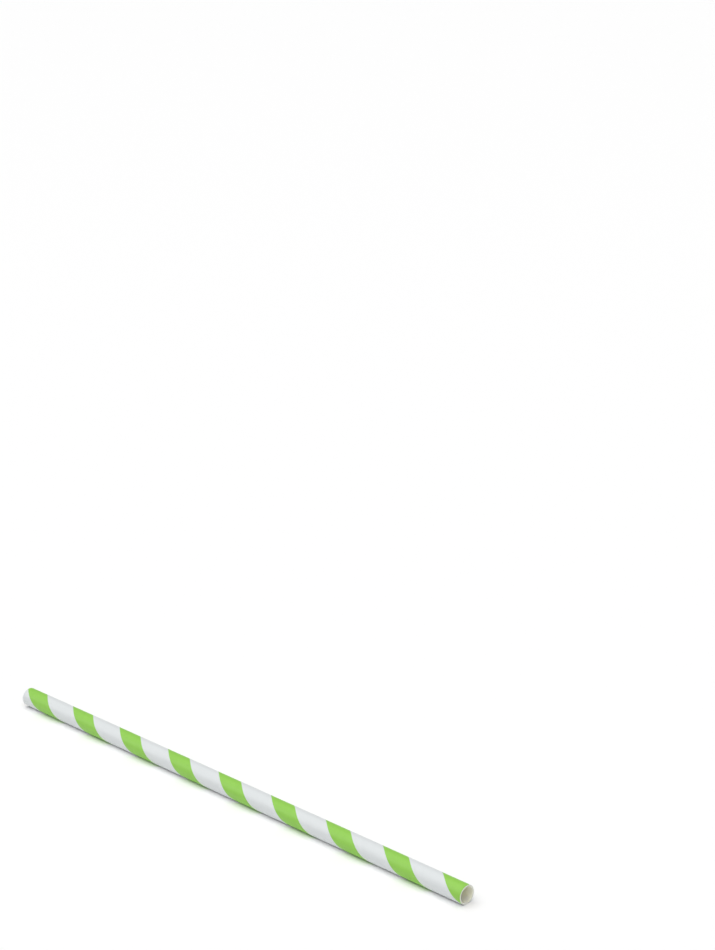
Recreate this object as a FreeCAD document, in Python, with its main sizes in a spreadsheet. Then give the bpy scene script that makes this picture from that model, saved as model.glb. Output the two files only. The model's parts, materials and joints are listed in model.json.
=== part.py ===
import FreeCAD, Part
import Sketcher
import os

# A spiral-wound paper drinking straw that lies on a table, in millimetres.
# It runs along X with its middle over the origin, and the table is the plane Z = 0.
# Strips of paper are wound and glued round a steel mandrel into one tube, and a knife cuts the tube
# to length. So the straw is one solid: a round tube with square ends, whose outer corners the knife
# has rolled over a little.

SET_SIZES = [
    ("cut_length", 203.0, "length that the tube is cut to, 8 inches"),
    ("bore_diameter", 5.2, "the mandrel's diameter, on which the innermost paper lies"),
    ("core_paper_thickness", 0.19, "one strip of the plain paper inside, with its glue"),
    ("core_paper_plies", 2, "strips of plain paper, one over another"),
    ("print_paper_thickness", 0.12, "the printed strip outside, with its glue"),
    ("knife_round", 0.1, "radius of the outer corner at each cut end"),
]

WORKED_OUT_SIZES = [
    ("wall_thickness", "=core_paper_thickness * core_paper_plies + print_paper_thickness",
     "all the paper from the bore to the outside"),
    ("outer_diameter", "=bore_diameter + 2 * wall_thickness", "diameter over the printed paper"),
]


def fill_sheet(sheet):
    """Write each size on a row of its own: its name, its value, and what it means."""
    for row, (name, value, meaning) in enumerate(SET_SIZES + WORKED_OUT_SIZES, start=1):
        sheet.set(f"A{row}", name)
        sheet.set(f"B{row}", str(value))
        sheet.setAlias(f"B{row}", name)
        sheet.set(f"C{row}", meaning)


def origin_plane(body, role):
    """The plane of the body's own origin that has this role."""
    return next(plane for plane in body.Origin.OriginFeatures if plane.Role == role)


def tie(sketch, constraint, name, expression):
    """Add a named constraint to a sketch, with its value tied to the sheet."""
    sketch.renameConstraint(sketch.addConstraint(constraint), name)
    sketch.setExpression(f"Constraints.{name}", expression)


def draw_wall_section(body):
    """The ring of paper that a cut end shows, standing on the table line."""
    section = body.newObject("Sketcher::SketchObject", "wall_section")
    section.AttachmentSupport = [(origin_plane(body, "YZ_Plane"), "")]
    section.MapMode = "FlatFace"

    rough_centre = FreeCAD.Vector(0, 1, 0)
    along_straw = FreeCAD.Vector(0, 0, 1)
    outside = section.addGeometry(Part.Circle(rough_centre, along_straw, 1.0))
    bore = section.addGeometry(Part.Circle(rough_centre, along_straw, 0.5))

    # A sketch's own origin and axes have numbers below zero, and a circle's centre is its point 3.
    sketch_origin, upright_axis, centre = (-1, 1), -2, 3
    section.addConstraint(Sketcher.Constraint("PointOnObject", outside, centre, upright_axis))
    section.addConstraint(Sketcher.Constraint("Coincident", bore, centre, outside, centre))
    above_table = Sketcher.Constraint("DistanceY", *sketch_origin, outside, centre, 1.0)
    tie(section, above_table, "axis_above_table", "sizes.outer_diameter / 2")
    tie(section, Sketcher.Constraint("Diameter", outside, 2.0), "outside", "sizes.outer_diameter")
    tie(section, Sketcher.Constraint("Diameter", bore, 1.0), "bore", "sizes.bore_diameter")
    return section


def outer_rims(tube):
    """Names of the tube's widest round edges, one at each cut end."""
    rims = {}
    for number, edge in enumerate(tube.Shape.Edges, start=1):
        if isinstance(edge.Curve, Part.Circle):
            rims.setdefault(round(edge.Curve.Radius, 6), []).append(f"Edge{number}")
    return rims[max(rims)]


def make_straw(doc):
    """The straw: its wall section run the whole length, then both outer corners rolled over."""
    body = doc.addObject("PartDesign::Body", "straw_tube")
    body.Label = "straw_tube"

    tube = body.newObject("PartDesign::Pad", "wound_tube")
    tube.Profile = draw_wall_section(body)
    tube.Midplane = True
    tube.setExpression("Length", "sizes.cut_length")
    doc.recompute()

    corners = body.newObject("PartDesign::Fillet", "knife_rounded_ends")
    corners.Base = (tube, outer_rims(tube))
    corners.setExpression("Radius", "sizes.knife_round")
    body.Tip = corners
    return body


def check(doc, pieces):
    """Stop if any object failed to build, or if a piece isn't one sound solid."""
    for item in doc.Objects:
        if "Invalid" in item.State or "Error" in item.State:
            raise RuntimeError(f"{item.Label} failed: {item.State}")
    for piece in pieces:
        shape = piece.Shape
        if shape.isNull() or not shape.isValid() or len(shape.Solids) != 1:
            raise RuntimeError(f"{piece.Label} isn't one sound solid")


doc = FreeCAD.newDocument("paper_straw")
fill_sheet(doc.addObject("Spreadsheet::Sheet", "sizes"))
doc.recompute()
pieces = [make_straw(doc)]
doc.recompute()
check(doc, pieces)

os.makedirs("parts", exist_ok=True)
for piece in pieces:
    piece.Shape.exportStep(f"parts/{piece.Label}.step")
    print(f"{piece.Label}: {piece.Shape.Volume:.1f} mm3 of paper")
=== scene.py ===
import json
import math

import bpy
from mathutils import Matrix, Vector


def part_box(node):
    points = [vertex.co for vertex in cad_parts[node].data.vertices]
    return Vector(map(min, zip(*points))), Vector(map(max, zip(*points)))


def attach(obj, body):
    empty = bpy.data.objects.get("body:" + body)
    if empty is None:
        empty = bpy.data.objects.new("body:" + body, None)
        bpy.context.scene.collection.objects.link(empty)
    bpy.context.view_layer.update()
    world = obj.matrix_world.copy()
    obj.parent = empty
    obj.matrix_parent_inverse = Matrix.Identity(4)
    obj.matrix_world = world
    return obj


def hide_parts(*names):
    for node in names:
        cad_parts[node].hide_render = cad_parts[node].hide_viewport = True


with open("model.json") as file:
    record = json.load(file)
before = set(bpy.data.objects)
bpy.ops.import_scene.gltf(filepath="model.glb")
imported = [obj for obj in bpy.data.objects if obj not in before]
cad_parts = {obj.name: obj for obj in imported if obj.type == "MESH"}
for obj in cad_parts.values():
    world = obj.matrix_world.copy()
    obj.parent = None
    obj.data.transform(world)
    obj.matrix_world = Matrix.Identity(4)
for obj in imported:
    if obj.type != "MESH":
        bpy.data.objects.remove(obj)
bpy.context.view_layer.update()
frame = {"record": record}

# The straw: three strips of paper, each wound over the last as a right-handed screw and glued, then cut
# to length with a round knife. The outer strip is white with one green stripe, the two inside are plain.
# Geometry Nodes wind the wall's closed section, so that every column of faces follows the strip.
MM = 0.001
straw_low, straw_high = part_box("straw_tube")
half_length = (straw_high.x - straw_low.x) / 2
outside_radius = (straw_high.y - straw_low.y) / 2
bore_mount = next(mount for mount in frame["record"]["mounts"] if mount["name"] == "bore")
bore_radius = bore_mount["dims"]["r_mm"] * MM
axis_height = bore_mount["pos_m"][2]

winding_lead = 24.28 * MM        # how far along the straw one turn of the strip takes it
winding_start = 0.436            # where the strip's first edge crosses the top at mid length, in turns
printed_ply = 0.12 * MM
plain_ply = (outside_radius - bore_radius - printed_ply) / 2
ply_joints = (outside_radius - printed_ply, outside_radius - printed_ply - plain_ply)
knife_round = 0.10 * MM          # the outer corner of a cut end, rolled over by the knife
bore_corner = 0.03 * MM          # its inner corner
glue_line = 0.014 * MM           # half the width of the line between two plies at a cut end
glue_line_depth = 0.012 * MM
joint_gap = 0.02 * MM            # half the gap where the outer strip's two edges meet
joint_depth = 0.02 * MM
joint_lift = 0.006 * MM          # how far the paper beside that gap stands up
cut_roughness = 0.014 * MM       # how uneven the knife leaves a cut
fibre_clump = 0.25 * MM          # how wide one rough spot of a cut is
wall_wobble = 0.010 * MM         # how far the wall strays from round
wobble_reach = 14 * MM           # how far along it strays one way

turn_length = math.hypot(winding_lead, 2 * math.pi * outside_radius)
strip_width = winding_lead * 2 * math.pi * outside_radius / turn_length


def rolled_corner(faces=5):
    """The outer corner of a cut end as (inset from the cut, radius, how much of the print is left)."""
    turns = [math.radians(90 * face / faces) for face in range(faces + 1)]
    return [(knife_round * (1 - math.sin(turn)),
             outside_radius - knife_round * (1 - math.cos(turn)),
             1 - math.sin(turn) ** 3) for turn in turns]


def cut_face(corner_faces=3):
    """The cut itself from the rolled corner to the bore, with a shallow line at each layer of glue."""
    glue_dip = ((1.2, 0), (0.5, 0.7), (0, 1), (-0.5, 0.7), (-1.2, 0))   # outwards, inwards from the cut
    points = [(0, outside_radius - knife_round, 0)]
    for ply_joint in ply_joints:
        points += [(depth * glue_line_depth, ply_joint + across * glue_line, 0) for across, depth in glue_dip]
    turns = [math.radians(90 * face / corner_faces) for face in range(corner_faces + 1)]
    points += [(bore_corner * (1 - math.cos(turn)),
                bore_radius + bore_corner * (1 - math.sin(turn)), 0) for turn in turns]
    return points


def wall_section(stations=380):
    """The closed section as runs of (x, radius, print left): outside, near cut, lining and far cut."""
    places = [2 * station / stations - 1 for station in range(stations + 1)]
    near_corner = [(half_length - inset, radius, left) for inset, radius, left in rolled_corner()]
    far_corner = [(-x, radius, left) for x, radius, left in reversed(near_corner)]
    straight = half_length - 2 * knife_round
    outside = far_corner + [(straight * place, outside_radius, 1) for place in places] + near_corner
    near_cut = [(half_length - inset, radius, left) for inset, radius, left in cut_face()]
    lining = [(-(half_length - bore_corner) * place, bore_radius, 0) for place in places]
    far_cut = [(-x, radius, left) for x, radius, left in reversed(near_cut)]
    return outside, near_cut, lining, far_cut


# Each run has its own part of the export's texture: from and to across the picture, and from and to up it.
PRINTED, CUT, LINING = 0, 1, 2
run_finishes = (PRINTED, CUT, LINING, CUT)
bake_places = ((0.01, 0.99, 0.01, 0.60), (0.01, 0.48, 0.83, 0.99),
               (0.01, 0.99, 0.63, 0.80), (0.52, 0.99, 0.83, 0.99))
value_kinds = {"print_left": "FLOAT", "on_cut": "FLOAT", "finish": "INT",
               "bake_across": "FLOAT", "bake_low": "FLOAT", "bake_high": "FLOAT"}
points = []
values = {name: [] for name in value_kinds}
for run, finish, (left, right, low, high) in zip(wall_section(), run_finishes, bake_places):
    last = len(run) - 1
    for number, (x, radius, print_left) in enumerate(run):
        on_cut = finish == CUT and 0 < number < last
        points.append((x, 0, radius))
        values["print_left"].append(print_left)
        values["on_cut"].append(float(on_cut))
        values["finish"].append(finish)
        values["bake_across"].append(left + (right - left) * number / last)
        values["bake_low"].append(low)
        values["bake_high"].append(high)
section_mesh = bpy.data.meshes.new("wall_section")
section_mesh.from_pydata(points, [], [])
for name, kind in value_kinds.items():
    section_mesh.attributes.new(name, kind, "POINT").data.foreach_set("value", values[name])

# Across the strip, as (distance, height over the paper): level but for its two edges, which meet.
# The edge's shape is in gaps from the joint, parts of the lift, and parts of the depth.
edge_shape = ((0, 0, 1), (0.5, 0, 0.9), (1, 0.8, 0), (2, 1, 0), (8, 0.7, 0), (20, 0, 0))
edge = [(joint_gap * out, joint_lift * up - joint_depth * down) for out, up, down in edge_shape]
level_columns = 86
level_start = edge[-1][0]
level_step = (strip_width - 2 * level_start) / level_columns
level = [(level_start + level_step * column, 0) for column in range(1, level_columns)]
across_strip = edge + level + [(strip_width - across, height) for across, height in reversed(edge)]
strip_mesh = bpy.data.meshes.new("strip_across")
strip_mesh.from_pydata([(across / strip_width, 0, height) for across, height in across_strip], [], [])
strip_across = bpy.data.objects.new("strip_across", strip_mesh)


def add(tree, kind, settings=None, inputs=None):
    """Add a node with its settings, and link or set its inputs. A node as a value is its first output."""
    node = tree.nodes.new(kind)
    for name, value in (settings or {}).items():
        setattr(node, name, value)
    for name, value in (inputs or {}).items():
        if isinstance(name, str):
            socket = next(s for s in node.inputs if s.enabled and s.name == name)
        else:
            socket = node.inputs[name]
        if isinstance(value, bpy.types.Node):
            value = next(s for s in value.outputs if s.enabled)
        if isinstance(value, bpy.types.NodeSocket):
            tree.links.new(value, socket)
        else:
            socket.default_value = value
    return node


def linear(hex_colour):
    """An sRGB hex colour as linear RGBA."""
    channels = [int(hex_colour[start:start + 2], 16) / 255 for start in (1, 3, 5)]
    return (*[c / 12.92 if c <= 0.04045 else ((c + 0.055) / 1.055) ** 2.4 for c in channels], 1.0)


# Coated white straw paper, printed in one flat green and glazed by the rollers that wind it: a soft silky
# shine, a very fine cloudy grain along the strip, and crisp edges to the ink.
stripe_start, stripe_end = 0.365 * strip_width, 0.7995 * strip_width
ink_softness = 0.02 * MM
ink_wander = 0.05 * MM           # how far the edge of the ink strays
wander_size = 0.3 * MM
grain_size = (1.2 * MM, 0.25 * MM)   # along and across; several real fibres together, so that it shows at all
cloud_size = 3 * MM
felt_joints = (0.30 * strip_width, 0.90 * strip_width)   # the plain strips' joints, felt through the print
felt_joint_reach = 0.35 * MM
grain_depth = 0.012 * MM
grain_share, felt_joint_share = 0.5, 0.4   # of that depth
print_whole, print_gone = 1.05, 0.85       # what is left of the print, plus the grain, at the knife's edge

printed_paper = bpy.data.materials.new("printed_straw_paper")
printed_paper.use_nodes = True
tree = printed_paper.node_tree
strip_place = add(tree, "ShaderNodeUVMap", {"uv_map": "strip"})
across = add(tree, "ShaderNodeSeparateXYZ", inputs={"Vector": strip_place}).outputs["Y"]
grain_place = add(tree, "ShaderNodeMapping", inputs={
    "Vector": strip_place, "Scale": (1 / grain_size[0], 1 / grain_size[1], 1)})
grain = add(tree, "ShaderNodeTexNoise", inputs={
    "Vector": grain_place, "Scale": 1.0, "Detail": 4.0, "Roughness": 0.6})
cloud = add(tree, "ShaderNodeTexNoise", inputs={
    "Vector": strip_place, "Scale": 1 / cloud_size, "Detail": 3.0})
wander = add(tree, "ShaderNodeTexNoise", inputs={
    "Vector": strip_place, "Scale": 1 / wander_size, "Detail": 2.0})
strayed = add(tree, "ShaderNodeMath", {"operation": "MULTIPLY_ADD"}, {0: wander, 1: ink_wander, 2: across})
off_middle = add(tree, "ShaderNodeMath", {"operation": "SUBTRACT"}, {
    0: strayed, 1: (stripe_start + stripe_end + ink_wander) / 2})
off_middle = add(tree, "ShaderNodeMath", {"operation": "ABSOLUTE"}, {0: off_middle})
half_stripe = (stripe_end - stripe_start) / 2
ink = add(tree, "ShaderNodeMapRange", inputs={
    "Value": off_middle, "From Min": half_stripe + ink_softness, "From Max": half_stripe - ink_softness})
white = add(tree, "ShaderNodeMix", {"data_type": "RGBA"}, {
    "Factor": cloud, "A": linear("#DADEDF"), "B": linear("#DEE2E3")})
green = add(tree, "ShaderNodeMix", {"data_type": "RGBA"}, {
    "Factor": cloud, "A": linear("#8CC94A"), "B": linear("#94CF50")})
printed = add(tree, "ShaderNodeMix", {"data_type": "RGBA"}, {"Factor": ink, "A": white, "B": green})
print_left = add(tree, "ShaderNodeAttribute", {"attribute_name": "print_left"})
bared = add(tree, "ShaderNodeMath", {"operation": "ADD"}, {0: print_left.outputs["Fac"], 1: grain})
bared = add(tree, "ShaderNodeMapRange", inputs={
    "Value": bared, "From Min": print_whole, "From Max": print_gone})
surface = add(tree, "ShaderNodeMix", {"data_type": "RGBA"}, {
    "Factor": bared, "A": printed, "B": linear("#F1F0EA")})
height = add(tree, "ShaderNodeMath", {"operation": "MULTIPLY"}, {0: grain, 1: grain_share})
for joint in felt_joints:
    off_joint = add(tree, "ShaderNodeMath", {"operation": "SUBTRACT"}, {0: across, 1: joint})
    off_joint = add(tree, "ShaderNodeMath", {"operation": "ABSOLUTE"}, {0: off_joint})
    dip = add(tree, "ShaderNodeMapRange", {"interpolation_type": "SMOOTHSTEP"}, {
        "Value": off_joint, "From Min": 0.0, "From Max": felt_joint_reach,
        "To Min": -felt_joint_share, "To Max": 0.0})
    height = add(tree, "ShaderNodeMath", {"operation": "ADD"}, {0: height, 1: dip})
relief = add(tree, "ShaderNodeBump", inputs={"Height": height, "Strength": 0.5, "Distance": grain_depth})
shader = tree.nodes["Principled BSDF"]
shader.inputs["Roughness"].default_value = 0.46
shader.inputs["IOR"].default_value = 1.48
tree.links.new(surface.outputs["Result"], shader.inputs["Base Color"])
tree.links.new(relief.outputs["Normal"], shader.inputs["Normal"])

# The cut edge of white kraft paper, sheared by a knife: matt and a little fluffy, with a fine darker line
# of dried glue between the plies.
fluff_size = 0.08 * MM
fluff_height = 0.02 * MM
glue_blur = 0.4 * glue_line, 1.2 * glue_line
glue_strength = 0.55
cut_paper = bpy.data.materials.new("knife_cut_paper_edge")
cut_paper.use_nodes = True
tree = cut_paper.node_tree
place = add(tree, "ShaderNodeTexCoord")
from_axis = add(tree, "ShaderNodeVectorMath", {"operation": "MULTIPLY_ADD"}, {
    0: place.outputs["Object"], 1: (0, 1, 1), 2: (0, 0, -axis_height)})
radius = add(tree, "ShaderNodeVectorMath", {"operation": "LENGTH"}, {0: from_axis}).outputs["Value"]
fluff = add(tree, "ShaderNodeTexNoise", inputs={
    "Vector": place.outputs["Object"], "Scale": 1 / fluff_size, "Detail": 4.0, "Roughness": 0.65})
edge_colour = add(tree, "ShaderNodeMix", {"data_type": "RGBA"}, {
    "Factor": fluff, "A": linear("#DFE0D4"), "B": linear("#F2F3EA")})
for ply_joint in ply_joints:
    off_line = add(tree, "ShaderNodeMath", {"operation": "SUBTRACT"}, {0: radius, 1: ply_joint})
    off_line = add(tree, "ShaderNodeMath", {"operation": "ABSOLUTE"}, {0: off_line})
    glue = add(tree, "ShaderNodeMapRange", inputs={
        "Value": off_line, "From Min": glue_blur[0], "From Max": glue_blur[1],
        "To Min": glue_strength, "To Max": 0.0})
    edge_colour = add(tree, "ShaderNodeMix", {"data_type": "RGBA"}, {
        "Factor": glue, "A": edge_colour, "B": linear("#B9B4A2")})
fuzz = add(tree, "ShaderNodeBump", inputs={"Height": fluff, "Strength": 0.6, "Distance": fluff_height})
shader = tree.nodes["Principled BSDF"]
shader.inputs["Roughness"].default_value = 0.85
shader.inputs["IOR"].default_value = 1.45
tree.links.new(edge_colour.outputs["Result"], shader.inputs["Base Color"])
tree.links.new(fuzz.outputs["Normal"], shader.inputs["Normal"])

# Plain uncoated kraft paper, bleached, and rubbed by the mandrel: matt off-white, with a joint of its own.
# Light soaks through the thin wall, so the bore glows a little.
lining_joint = 0.55 * strip_width
lining_gap_blur = 0.05 * MM, 0.12 * MM
lining_gap_strength = 0.6
light_soak = 1.0 * MM
plain_paper = bpy.data.materials.new("plain_kraft_paper")
plain_paper.use_nodes = True
tree = plain_paper.node_tree
strip_place = add(tree, "ShaderNodeUVMap", {"uv_map": "strip"})
across = add(tree, "ShaderNodeSeparateXYZ", inputs={"Vector": strip_place}).outputs["Y"]
grain_place = add(tree, "ShaderNodeMapping", inputs={
    "Vector": strip_place, "Scale": (1 / grain_size[0], 1 / grain_size[1], 1)})
grain = add(tree, "ShaderNodeTexNoise", inputs={
    "Vector": grain_place, "Scale": 1.0, "Detail": 4.0, "Roughness": 0.65})
lining_colour = add(tree, "ShaderNodeMix", {"data_type": "RGBA"}, {
    "Factor": grain, "A": linear("#F3F2DF"), "B": linear("#FAF9E9")})
off_joint = add(tree, "ShaderNodeMath", {"operation": "SUBTRACT"}, {0: across, 1: lining_joint})
off_joint = add(tree, "ShaderNodeMath", {"operation": "ABSOLUTE"}, {0: off_joint})
gap = add(tree, "ShaderNodeMapRange", inputs={
    "Value": off_joint, "From Min": lining_gap_blur[0], "From Max": lining_gap_blur[1],
    "To Min": lining_gap_strength, "To Max": 0.0})
lining_colour = add(tree, "ShaderNodeMix", {"data_type": "RGBA"}, {
    "Factor": gap, "A": lining_colour, "B": linear("#9C978A")})
fuzz = add(tree, "ShaderNodeBump", inputs={"Height": grain, "Strength": 0.5, "Distance": fluff_height})
shader = tree.nodes["Principled BSDF"]
shader.inputs["Roughness"].default_value = 0.8
shader.inputs["IOR"].default_value = 1.45
shader.inputs["Subsurface Weight"].default_value = 0.8
shader.inputs["Subsurface Radius"].default_value = (1.0, 1.0, 0.8)
shader.inputs["Subsurface Scale"].default_value = light_soak
tree.links.new(lining_colour.outputs["Result"], shader.inputs["Base Color"])
tree.links.new(fuzz.outputs["Normal"], shader.inputs["Normal"])

# The winding: a grid with the section along one side and the strip's width along the other, rolled up
# so that the strip's first edge meets its last, and welded there.
merge_distance = 0.0005 * MM
wobble_seed = 4.0
wall_inputs = [
    ("Strip Across", "NodeSocketObject", strip_across),
    ("Winding Lead", "NodeSocketFloat", winding_lead),
    ("Winding Start", "NodeSocketFloat", winding_start),
    ("Strip Width", "NodeSocketFloat", strip_width),
    ("Turn Length", "NodeSocketFloat", turn_length),
    ("Axis Height", "NodeSocketFloat", axis_height),
    ("Wall Wobble", "NodeSocketFloat", wall_wobble),
    ("Wobble Reach", "NodeSocketFloat", wobble_reach),
    ("Cut Roughness", "NodeSocketFloat", cut_roughness),
    ("Fibre Clump", "NodeSocketFloat", fibre_clump),
    ("Seed", "NodeSocketFloat", wobble_seed),
    ("Printed Paper", "NodeSocketMaterial", printed_paper),
    ("Cut Paper", "NodeSocketMaterial", cut_paper),
    ("Plain Paper", "NodeSocketMaterial", plain_paper),
]
tree = bpy.data.node_groups.new("wind_straw_wall", "GeometryNodeTree")
tree.interface.new_socket("Section", in_out="INPUT", socket_type="NodeSocketGeometry")
tree.interface.new_socket("Straw", in_out="OUTPUT", socket_type="NodeSocketGeometry")
for name, kind, _ in wall_inputs:
    tree.interface.new_socket(name, in_out="INPUT", socket_type=kind)
given = add(tree, "NodeGroupInput").outputs
strip_info = add(tree, "GeometryNodeObjectInfo", inputs={"Object": given["Strip Across"]})
strip_edges = strip_info.outputs["Geometry"]
stations = add(tree, "GeometryNodeAttributeDomainSize", inputs={"Geometry": given["Section"]})
columns = add(tree, "GeometryNodeAttributeDomainSize", inputs={"Geometry": strip_edges})
grid = add(tree, "GeometryNodeMeshGrid", inputs={"Vertices X": stations, "Vertices Y": columns})
number = add(tree, "GeometryNodeInputIndex")
station = add(tree, "FunctionNodeIntegerMath", {"operation": "DIVIDE_FLOOR"}, {0: number, 1: columns})
column = add(tree, "FunctionNodeIntegerMath", {"operation": "FLOORED_MODULO"}, {0: number, 1: columns})
at_station = {}
for name, kind in value_kinds.items():
    stored = add(tree, "GeometryNodeInputNamedAttribute", {"data_type": kind}, {"Name": name})
    at_station[name] = add(tree, "GeometryNodeSampleIndex", {"data_type": kind}, {
        "Geometry": given["Section"], "Value": stored, "Index": station})
position = add(tree, "GeometryNodeInputPosition")
section_point = add(tree, "GeometryNodeSampleIndex", {"data_type": "FLOAT_VECTOR"}, {
    "Geometry": given["Section"], "Value": position, "Index": station})
section_point = add(tree, "ShaderNodeSeparateXYZ", inputs={"Vector": section_point})
along_straw, radius = section_point.outputs["X"], section_point.outputs["Z"]
strip_point = add(tree, "GeometryNodeSampleIndex", {"data_type": "FLOAT_VECTOR"}, {
    "Geometry": strip_edges, "Value": position, "Index": column})
strip_point = add(tree, "ShaderNodeSeparateXYZ", inputs={"Vector": strip_point})
part_across, lift = strip_point.outputs["X"], strip_point.outputs["Z"]

turns = add(tree, "ShaderNodeMath", {"operation": "DIVIDE"}, {0: along_straw, 1: given["Winding Lead"]})
turns = add(tree, "ShaderNodeMath", {"operation": "SUBTRACT"}, {0: turns, 1: given["Winding Start"]})
turns = add(tree, "ShaderNodeMath", {"operation": "SUBTRACT"}, {0: turns, 1: part_across})
angle = add(tree, "ShaderNodeMath", {"operation": "MULTIPLY"}, {0: turns, 1: 2 * math.pi})
raised = add(tree, "ShaderNodeMath", {"operation": "MULTIPLY_ADD"}, {
    0: lift, 1: at_station["print_left"], 2: radius})
unwound = add(tree, "ShaderNodeCombineXYZ", inputs={"X": along_straw, "Z": raised})
wound = add(tree, "ShaderNodeVectorRotate", {"rotation_type": "X_AXIS"}, {"Vector": unwound, "Angle": angle})
outwards = add(tree, "ShaderNodeVectorRotate", {"rotation_type": "X_AXIS"}, {
    "Vector": (0, 0, 1), "Angle": angle})

uneven = {}
for size, reach, detail in (("Wall Wobble", "Wobble Reach", 1.0), ("Cut Roughness", "Fibre Clump", 3.0)):
    scale = add(tree, "ShaderNodeMath", {"operation": "DIVIDE"}, {0: 1.0, 1: given[reach]})
    noise = add(tree, "ShaderNodeTexNoise", {"noise_dimensions": "4D"}, {
        "Vector": wound, "W": given["Seed"], "Scale": scale, "Detail": detail})
    inwards = add(tree, "ShaderNodeMath", {"operation": "MULTIPLY"}, {0: given[size], 1: -1.0})
    uneven[size] = add(tree, "ShaderNodeMapRange", inputs={
        "Value": noise, "To Min": inwards, "To Max": given[size]})
fibres = add(tree, "ShaderNodeMath", {"operation": "MULTIPLY"}, {
    0: uneven["Cut Roughness"], 1: at_station["on_cut"]})
wall_offset = add(tree, "ShaderNodeVectorMath", {"operation": "SCALE"}, {
    "Vector": outwards, "Scale": uneven["Wall Wobble"]})
cut_offset = add(tree, "ShaderNodeCombineXYZ", inputs={"X": fibres, "Z": given["Axis Height"]})
wall_point = add(tree, "ShaderNodeVectorMath", {"operation": "ADD"}, {0: wound, 1: wall_offset})
wall_point = add(tree, "ShaderNodeVectorMath", {"operation": "ADD"}, {0: wall_point, 1: cut_offset})

turns_along = add(tree, "ShaderNodeMath", {"operation": "DIVIDE"}, {0: along_straw, 1: given["Winding Lead"]})
strip_along = add(tree, "ShaderNodeMath", {"operation": "MULTIPLY"}, {
    0: turns_along, 1: given["Turn Length"]})
strip_over = add(tree, "ShaderNodeMath", {"operation": "MULTIPLY"}, {0: part_across, 1: given["Strip Width"]})
strip_uv = add(tree, "ShaderNodeCombineXYZ", inputs={"X": strip_along, "Y": strip_over})
bake_up = add(tree, "ShaderNodeMapRange", inputs={
    "Value": part_across, "To Min": at_station["bake_low"], "To Max": at_station["bake_high"]})
bake_uv = add(tree, "ShaderNodeCombineXYZ", inputs={"X": at_station["bake_across"], "Y": bake_up})
kept_values = (
    ("strip", "CORNER", "FLOAT2", "FLOAT_VECTOR", strip_uv),
    ("OFBake", "CORNER", "FLOAT2", "FLOAT_VECTOR", bake_uv),
    ("print_left", "POINT", "FLOAT", "FLOAT", at_station["print_left"]),
    ("finish", "FACE", "INT", "INT", at_station["finish"]),
)
wall = grid
for name, domain, kind, read_as, field in kept_values:
    on_points = add(tree, "GeometryNodeFieldOnDomain", {"data_type": read_as, "domain": "POINT"}, {
        "Value": field})
    wall = add(tree, "GeometryNodeStoreNamedAttribute", {"data_type": kind, "domain": domain}, {
        "Geometry": wall, "Name": name, "Value": on_points})
wall = add(tree, "GeometryNodeSetPosition", inputs={"Geometry": wall, "Position": wall_point})
wall = add(tree, "GeometryNodeMergeByDistance", inputs={"Geometry": wall, "Distance": merge_distance})
wall = add(tree, "GeometryNodeSetShadeSmooth", inputs={"Geometry": wall})
wall = add(tree, "GeometryNodeRealizeInstances", inputs={"Geometry": wall})
finish = add(tree, "GeometryNodeInputNamedAttribute", {"data_type": "INT"}, {"Name": "finish"})
for value, paper in ((PRINTED, "Printed Paper"), (CUT, "Cut Paper"), (LINING, "Plain Paper")):
    chosen = add(tree, "FunctionNodeCompare", {"data_type": "INT", "operation": "EQUAL"}, {
        "A": finish, "B": value})
    wall = add(tree, "GeometryNodeSetMaterial", inputs={
        "Geometry": wall, "Selection": chosen, "Material": given[paper]})
add(tree, "NodeGroupOutput", inputs={"Straw": wall})

section = bpy.data.objects.new("wall_section", section_mesh)
bpy.context.collection.objects.link(section)
winding = section.modifiers.new("winding", "NODES")
winding.node_group = tree
for name, _, value in wall_inputs:
    winding[tree.interface.items_tree[name].identifier] = value
bpy.context.view_layer.update()
wound_mesh = bpy.data.meshes.new_from_object(section.evaluated_get(bpy.context.evaluated_depsgraph_get()))
wound_mesh.name = "wound_straw"
bpy.data.objects.remove(section)
bpy.data.objects.remove(strip_across)
wound_straw = bpy.data.objects.new("wound_straw", wound_mesh)
bpy.context.collection.objects.link(wound_straw)
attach(wound_straw, "root")
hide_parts("straw_tube")

# The table: a plain white matt top on which the straw lies, far larger than the straw.
# It is the scene's floor, and no part of the straw.
table_reach = 6.0
corners = [(x * table_reach, y * table_reach, 0) for x, y in ((-1, -1), (1, -1), (1, 1), (-1, 1))]
table_mesh = bpy.data.meshes.new("table_top")
table_mesh.from_pydata(corners, [], [(0, 1, 2, 3)])
white_table = bpy.data.materials.new("white_table_top")
white_table.use_nodes = True
shader = white_table.node_tree.nodes["Principled BSDF"]
shader.inputs["Base Color"].default_value = linear("#FAFAFA")
shader.inputs["Roughness"].default_value = 0.9
table_mesh.materials.append(white_table)
table_top = bpy.data.objects.new("table_top", table_mesh)
bpy.context.collection.objects.link(table_top)

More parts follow.
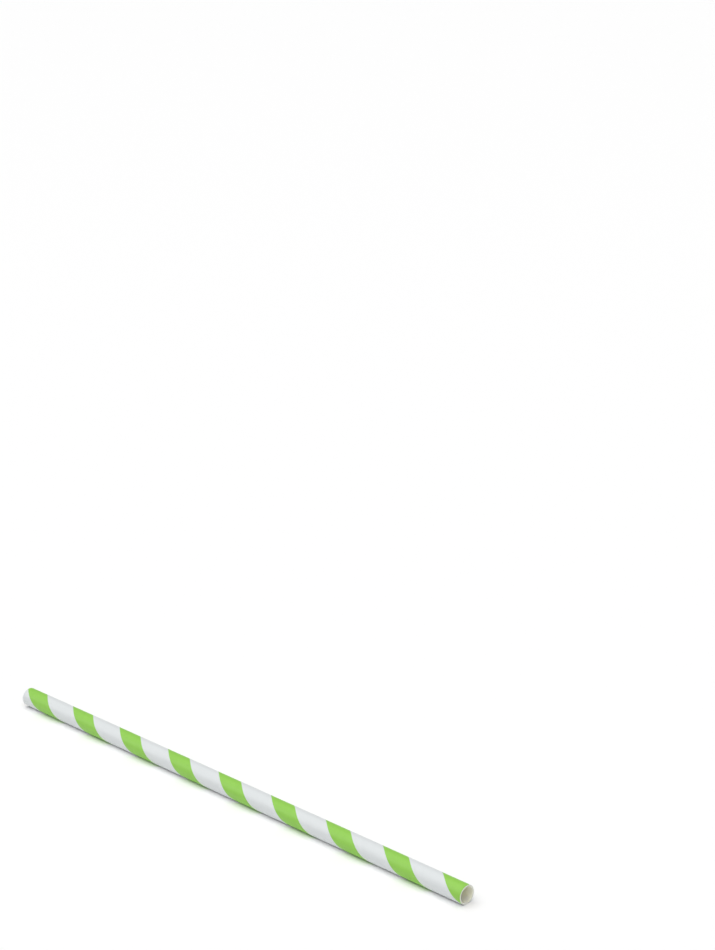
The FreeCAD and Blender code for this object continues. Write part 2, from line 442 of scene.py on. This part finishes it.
# The light: a white room that is dim all round, with a broad soft ceiling over the straw. A soft box at the
# front left is only there for the pale line of shine along the glazed paper. Only what the camera sees of
# the room beyond the table is as bright as the table.
room_light, room_backdrop = 0.32, 1.0
room = bpy.data.worlds.new("white_room")
bpy.context.scene.world = room
room.use_nodes = True
tree = room.node_tree
seen = add(tree, "ShaderNodeLightPath").outputs["Is Camera Ray"]
brightness = add(tree, "ShaderNodeMapRange", inputs={
    "Value": seen, "To Min": room_light, "To Max": room_backdrop})
tree.nodes["Background"].inputs["Color"].default_value = linear("#FFFFFF")
tree.links.new(brightness.outputs["Result"], tree.nodes["Background"].inputs["Strength"])
# Name, watts on a square metre that faces it, breadth in degrees, its direction, and whether it lights more
# than the shine.
studio_lights = (
    ("soft_ceiling", 2.35, 80, (0.04, 0.17, -1), True),
    ("front_soft_box", 0.5, 20, (0.52, 0.468, -0.364), False),
)
for name, energy, breadth, falls, lights_matt in studio_lights:
    light = bpy.data.lights.new(name, "SUN")
    light.energy = energy
    light.angle = math.radians(breadth)
    light_stand = bpy.data.objects.new(name, light)
    light_stand.rotation_euler = Vector(falls).to_track_quat("-Z", "Y").to_euler()
    light_stand.visible_diffuse = lights_matt
    bpy.context.collection.objects.link(light_stand)
bpy.context.scene.view_settings.view_transform = "Standard"

# The camera, where the photograph's stood: 0.8 m off and looking down at 20 degrees, with the straw in the
# low left of its frame.
camera_place = Vector((0.52350, -0.46815, 0.36353))
aim = Vector((-0.17792, 0.24095, 0.0))
camera_roll = math.radians(-1.26)
camera = bpy.data.cameras.new("camera")
camera.lens = 92.96
camera.clip_start, camera.clip_end = 0.05, 20.0
camera_stand = bpy.data.objects.new("camera", camera)
camera_stand.rotation_mode = "QUATERNION"
camera_stand.location = camera_place
towards_aim = (aim - camera_place).to_track_quat("-Z", "Y")
camera_stand.rotation_quaternion = towards_aim @ Matrix.Rotation(camera_roll, 3, "Z").to_quaternion()
bpy.context.collection.objects.link(camera_stand)
bpy.context.scene.camera = camera_stand
